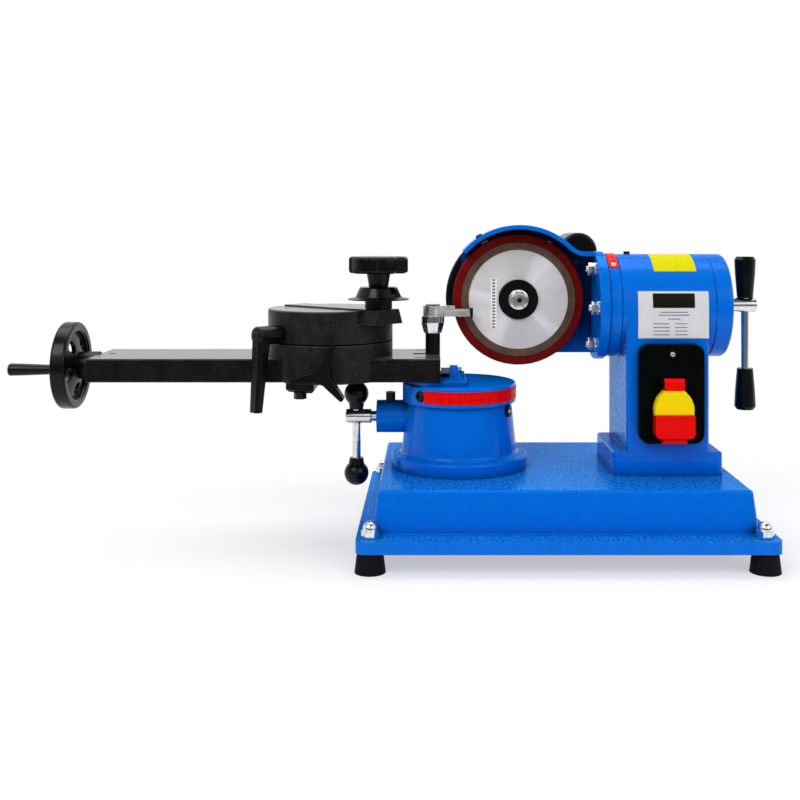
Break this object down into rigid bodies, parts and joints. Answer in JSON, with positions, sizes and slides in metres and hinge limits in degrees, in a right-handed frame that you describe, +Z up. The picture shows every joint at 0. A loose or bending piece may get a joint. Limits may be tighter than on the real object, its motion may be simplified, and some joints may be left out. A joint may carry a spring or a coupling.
{
  "type": "saw blade sharpener",
  "caption": "Bench grinder for circular saw blades: swivelling slide arm with a blade seat, tooth stop, tilting motor head with a face wheel, handwheel and switch on a cast base.",
  "frame": {"origin": "middle of the whole sharpener's outline at bench level, under its feet", "axes": "+X along the slide arm towards the column, +Y away from the operator, +Z up"},
  "size_m": [0.696, 0.291, 0.2914],
  "materials": {
    "blue_enamel": "gloss enamel",
    "rubber": "matt",
    "zinc": "bright",
    "dark_steel": "blackened, satin",
    "grey_steel": "ground",
    "black_plastic": "satin",
    "black_enamel": "satin",
    "red_plate": "printed",
    "red_plastic": "gloss",
    "yellow_plastic": "gloss",
    "green_plastic": "gloss",
    "wheel_aluminium": "turned",
    "abrasive": "grit",
    "red_resin": "matt"
  },
  "bodies": {
    "base": {"base_casting": "blue_enamel", "rubber_feet": "rubber", "foot_bolts": "zinc", "acorn_nuts": "zinc", "pedestal": "blue_enamel", "casting_bolts": "zinc", "black_screws": "dark_steel", "column": "blue_enamel", "barrel_cap": "blue_enamel", "switch_plate": "black_plastic"},
    "turret": {"turntable": "blue_enamel", "turret_nut": "zinc", "angle_scale": "red_plate", "slide_arm": "dark_steel", "arm_bolts": "zinc", "arm_stop_bolt": "zinc", "stop_post": "dark_steel"},
    "turret_lock": {"lock_screw": "zinc"},
    "turret_lock_bar": {"lock_bar": "zinc", "lock_knobs": "black_plastic"},
    "arm_handwheel": {"lead_screw": "grey_steel", "handwheel": "black_plastic", "crank_pin": "zinc"},
    "arm_crank_grip": {"crank_grip": "black_plastic"},
    "saddle": {"carriage": "dark_steel", "lead_nut": "grey_steel", "keeper_bar": "dark_steel", "keeper_bolts": "dark_steel"},
    "saddle_lock": {"carriage_knob": "black_plastic"},
    "rotary_seat": {"rotary_disc": "dark_steel"},
    "seat_lever": {"clamp_lever": "black_plastic"},
    "blade_slide": {"slide_bar": "dark_steel", "blade_stud": "dark_steel"},
    "blade_cone": {"centring_cone": "black_plastic"},
    "blade_knob": {"star_knob": "black_plastic"},
    "tooth_stop": {"finger_clamp": "zinc", "stop_finger": "zinc", "finger_tip": "dark_steel"},
    "head_quill": {"quill": "blue_enamel", "tilt_scale": "red_plate"},
    "head": {"head_bracket": "blue_enamel", "head_bolts": "zinc", "motor_shield": "black_enamel", "motor_body": "black_enamel", "capacitor": "black_plastic"},
    "grinding_wheel": {"spindle": "grey_steel", "wheel_core": "wheel_aluminium", "wheel_abrasive": "abrasive", "wheel_rim": "red_resin", "wheel_washer": "black_enamel", "wheel_nut": "zinc"},
    "head_feed": {"feed_screw": "zinc"},
    "head_feed_bar": {"feed_bar": "zinc", "feed_grips": "black_plastic"},
    "flap": {"flap_hinge": "red_plastic", "switch_flap": "yellow_plastic", "stop_pad": "red_plastic"},
    "start": {"start_button": "green_plastic"},
    "stop": {"stop_button": "red_plastic"}
  },
  "joints": [
    {"name": "turret_swing", "type": "hinge", "parent": "base", "child": "turret", "pos_m": [0.0661, -0.0135, 0.1256], "axis": [0, 0, 1], "range_deg": [-20, 20]},
    {"name": "turret_lock_turn", "type": "hinge", "parent": "base", "child": "turret_lock", "pos_m": [-0.0169, -0.0135, 0.11], "axis": [1, 0, 0], "range_deg": [-90, 90]},
    {"name": "turret_lock_bar_slide", "type": "slide", "parent": "turret_lock", "child": "turret_lock_bar", "axis": [0, 0, 1], "range_m": [0, 0.0035]},
    {"name": "carriage_slide", "type": "slide", "parent": "turret", "child": "saddle", "axis": [1, 0, 0], "range_m": [-0.15, 0.01]},
    {"name": "handwheel_turn", "type": "hinge", "parent": "turret", "child": "arm_handwheel", "pos_m": [-0.2954, -0.0135, 0.15835], "axis": [1, 0, 0], "range_deg": [-10801, 721]},
    {"name": "crank_grip_spin", "type": "hinge", "parent": "arm_handwheel", "child": "arm_crank_grip", "pos_m": [-0.2954, -0.047, 0.15835], "axis": [1, 0, 0], "continuous": true},
    {"name": "carriage_lock_turn", "type": "hinge", "parent": "saddle", "child": "saddle_lock", "pos_m": [-0.0559, -0.0723, 0.15835], "axis": [0, -1, 0], "range_deg": [-90, 90]},
    {"name": "rotary_seat_turn", "type": "hinge", "parent": "saddle", "child": "rotary_seat", "pos_m": [-0.0559, -0.0135, 0.1826], "axis": [0, 0, 1], "range_deg": [-5, 10]},
    {"name": "clamp_lever_turn", "type": "hinge", "parent": "rotary_seat", "child": "seat_lever", "pos_m": [-0.09748, -0.05508, 0.1916], "axis": [-0.7071, -0.7071, 0], "range_deg": [-5, 80]},
    {"name": "blade_slide_travel", "type": "slide", "parent": "rotary_seat", "child": "blade_slide", "axis": [0.766, -0.6428, 0], "range_m": [-0.025, 0.008]},
    {"name": "centring_cone_lift", "type": "slide", "parent": "blade_slide", "child": "blade_cone", "axis": [0, 0, 1], "range_m": [0, 0.008]},
    {"name": "star_knob_turn", "type": "hinge", "parent": "blade_cone", "child": "blade_knob", "pos_m": [-0.0084, -0.05335, 0.2145], "axis": [0, 0, 1], "range_deg": [0, 1646.71]},
    {"name": "tooth_stop_swing", "type": "hinge", "parent": "turret", "child": "tooth_stop", "pos_m": [0.0411, -0.0135, 0.2051], "axis": [0, 0, 1], "range_deg": [-70, 0]},
    {"name": "quill_slide", "type": "slide", "parent": "base", "child": "head_quill", "axis": [-1, 0, 0], "range_m": [0, 0.008]},
    {"name": "head_tilt", "type": "hinge", "parent": "head_quill", "child": "head", "pos_m": [0.2133, -0.0135, 0.2155], "axis": [1, 0, 0], "range_deg": [-12, 20]},
    {"name": "wheel_spin", "type": "hinge", "parent": "head", "child": "grinding_wheel", "pos_m": [0.1229, -0.0075, 0.2204], "axis": [0, 1, 0], "continuous": true},
    {"name": "feed_handle_turn", "type": "hinge", "parent": "base", "child": "head_feed", "pos_m": [0.3145, -0.0135, 0.2155], "axis": [1, 0, 0], "range_deg": [0, 1441]},
    {"name": "feed_bar_slide", "type": "slide", "parent": "head_feed", "child": "head_feed_bar", "axis": [0, 0, 1], "range_m": [0, 0.052]},
    {"name": "switch_flap_lift", "type": "hinge", "parent": "base", "child": "flap", "pos_m": [0.2561, -0.0755, 0.15], "axis": [-1, 0, 0], "range_deg": [0, 100]},
    {"name": "start_button_press", "type": "slide", "parent": "base", "child": "start", "axis": [0, 1, 0], "range_m": [0, 0.0014], "stiffness_N_per_m": 400, "springref_m": -0.002},
    {"name": "stop_button_press", "type": "slide", "parent": "base", "child": "stop", "axis": [0, 1, 0], "range_m": [0, 0.0014], "stiffness_N_per_m": 400, "springref_m": -0.002}
  ],
  "couplings": [
    {"joint": "handwheel_turn", "follows": "carriage_slide", "rad_per_m": 1256.6},
    {"joint": "feed_handle_turn", "follows": "quill_slide", "rad_per_m": 3141.6},
    {"joint": "star_knob_turn", "follows": "centring_cone_lift", "rad_per_m": 3590.4}
  ]
}
